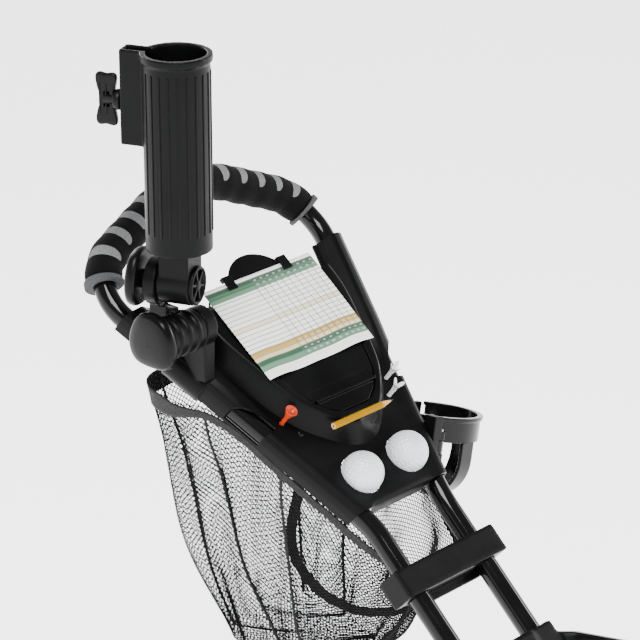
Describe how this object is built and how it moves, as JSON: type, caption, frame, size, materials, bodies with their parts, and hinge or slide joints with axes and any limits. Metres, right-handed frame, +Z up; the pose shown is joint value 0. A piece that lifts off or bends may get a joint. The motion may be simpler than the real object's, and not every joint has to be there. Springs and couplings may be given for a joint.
{
  "type": "golf push cart",
  "caption": "Three-wheel folding golf push cart with a looped grip, a console with scorecard and lidded bin, hanging net bag, cup holder and tilting umbrella socket.",
  "frame": {"origin": "centre of the bounding box on the ground under the cart", "axes": "+Z up, +Y towards the person who pushes, -Y the way the cart rolls, +X towards the cup holder side"},
  "size_m": [0.644, 1.1523, 1.2518],
  "materials": {
    "black_tube": "gloss black powder coat",
    "black_plastic": "fine moulded texture",
    "gloss_plastic": "smooth gloss",
    "foam": "soft foam with a fine cell texture",
    "grip_grey": "smooth grey rubber",
    "white_ball": "dimpled lacquer",
    "white_tee": "smooth",
    "orange_tee": "smooth",
    "pencil": "yellow lacquer",
    "card": "printed card",
    "net": "knotless black netting",
    "webbing": "woven strap",
    "steel": "zinc plated",
    "tyre": "solid foam tyre",
    "rim": "moulded rim"
  },
  "bodies": {
    "frame": {"lower_tubes": "black_tube", "fork_ends": "black_plastic", "front_axle": "steel", "hinge_lower": "black_plastic", "hinge_pin": "steel", "rear_hub": "black_plastic", "arm_pins": "steel", "lower_cradle": "black_plastic", "lower_strap": "webbing"},
    "upper_frame": {"handle_tube": "black_tube", "grip_cover": "foam", "grip_end_rings": "grip_grey", "console_deck": "black_plastic", "console_bin": "black_plastic", "lid_pin": "steel", "golf_balls": "white_ball", "white_tees": "white_tee", "orange_tee": "orange_tee", "pencil": "pencil", "console_saddles": "black_plastic", "console_screws": "steel", "cross_bracket": "black_plastic", "bracket_screws": "steel", "net_bag": "net", "cup_bracket": "black_plastic", "cup_pin": "steel", "umbrella_clamp": "black_plastic", "umbrella_low_bolt": "steel", "upper_cradle": "black_plastic", "upper_strap": "webbing", "hinge_upper": "black_plastic"},
    "lid": {"compartment_lid": "black_plastic", "card_clip": "black_plastic", "scorecard": "card"},
    "cup": {"cup_holder": "gloss_plastic"},
    "umbrella_arm": {"umbrella_arm": "black_plastic", "umbrella_joint_bolt": "steel"},
    "umbrella_socket": {"umbrella_socket": "black_plastic", "umbrella_cap": "black_plastic"},
    "low_knob": {"umbrella_low_knob": "black_plastic"},
    "high_knob": {"umbrella_high_knob": "black_plastic"},
    "wing_screw": {"umbrella_wing_screw": "black_plastic"},
    "fold_lever": {"hinge_lever": "black_plastic"},
    "left_arm": {"rear_arm_left": "black_tube", "rear_axle_left": "steel"},
    "right_arm": {"rear_arm_right": "black_tube", "rear_axle_right": "steel"},
    "left_wheel": {"rear_left_tyre": "tyre", "rear_left_rim": "rim", "rear_left_bearings": "steel"},
    "right_wheel": {"rear_right_tyre": "tyre", "rear_right_rim": "rim", "rear_right_bearings": "steel"},
    "front_wheel": {"front_tyre": "tyre", "front_rim": "rim", "front_bearings": "steel"},
    "pedal": {"brake_pedal": "black_plastic"}
  },
  "joints": [
    {"name": "handle_fold", "type": "hinge", "parent": "frame", "child": "upper_frame", "pos_m": [0, -0.01213, 0.58052], "axis": [1, 0, 0], "range_deg": [0, 160]},
    {"name": "lid_hinge", "type": "hinge", "parent": "upper_frame", "child": "lid", "pos_m": [0, 0.45698, 0.97125], "axis": [-1, 0, 0], "range_deg": [0, 85]},
    {"name": "cup_swing", "type": "hinge", "parent": "upper_frame", "child": "cup", "pos_m": [0.08697, 0.30111, 0.79252], "axis": [0.2642, 0.066, 0.9622], "range_deg": [-60, 0]},
    {"name": "umbrella_swivel", "type": "hinge", "parent": "upper_frame", "child": "umbrella_arm", "pos_m": [-0.15, 0.4224, 0.9748], "axis": [1, 0, 0], "range_deg": [-12, 40]},
    {"name": "umbrella_tilt", "type": "hinge", "parent": "umbrella_arm", "child": "umbrella_socket", "pos_m": [-0.15, 0.4504, 1.0228], "axis": [0.3778, -0.9259, 0], "range_deg": [-35, 35]},
    {"name": "low_knob_turn", "type": "hinge", "parent": "upper_frame", "child": "low_knob", "pos_m": [-0.15, 0.4224, 0.9748], "axis": [1, 0, 0], "continuous": true},
    {"name": "high_knob_turn", "type": "hinge", "parent": "umbrella_arm", "child": "high_knob", "pos_m": [-0.15, 0.4504, 1.0228], "axis": [0.3778, -0.9259, 0], "continuous": true},
    {"name": "wing_screw_turn", "type": "hinge", "parent": "umbrella_socket", "child": "wing_screw", "pos_m": [-0.15604, 0.46521, 1.1998], "axis": [-0.3778, 0.9259, 0], "continuous": true},
    {"name": "lever_turn", "type": "hinge", "parent": "frame", "child": "fold_lever", "pos_m": [0.066, -0.01213, 0.58052], "axis": [1, 0, 0], "range_deg": [0, 90]},
    {"name": "left_arm_fold", "type": "hinge", "parent": "frame", "child": "left_arm", "pos_m": [-0.08, -0.11581, 0.42777], "axis": [0, 0.7314, 0.682], "range_deg": [0, 20]},
    {"name": "right_arm_fold", "type": "hinge", "parent": "frame", "child": "right_arm", "pos_m": [0.08, -0.11581, 0.42777], "axis": [0, -0.7314, -0.682], "range_deg": [0, 20]},
    {"name": "left_wheel_spin", "type": "hinge", "parent": "left_arm", "child": "left_wheel", "pos_m": [-0.29, 0.2304, 0.145], "axis": [1, 0, 0], "continuous": true},
    {"name": "right_wheel_spin", "type": "hinge", "parent": "right_arm", "child": "right_wheel", "pos_m": [0.29, 0.2304, 0.145], "axis": [1, 0, 0], "continuous": true},
    {"name": "front_wheel_spin", "type": "hinge", "parent": "frame", "child": "front_wheel", "pos_m": [0, -0.44929, 0.125], "axis": [1, 0, 0], "continuous": true},
    {"name": "brake_press", "type": "hinge", "parent": "left_arm", "child": "pedal", "pos_m": [-0.224, 0.2304, 0.145], "axis": [-1, 0, 0], "range_deg": [0, 20]}
  ],
  "couplings": [
    {"joint": "right_arm_fold", "follows": "left_arm_fold", "ratio": 1}
  ]
}
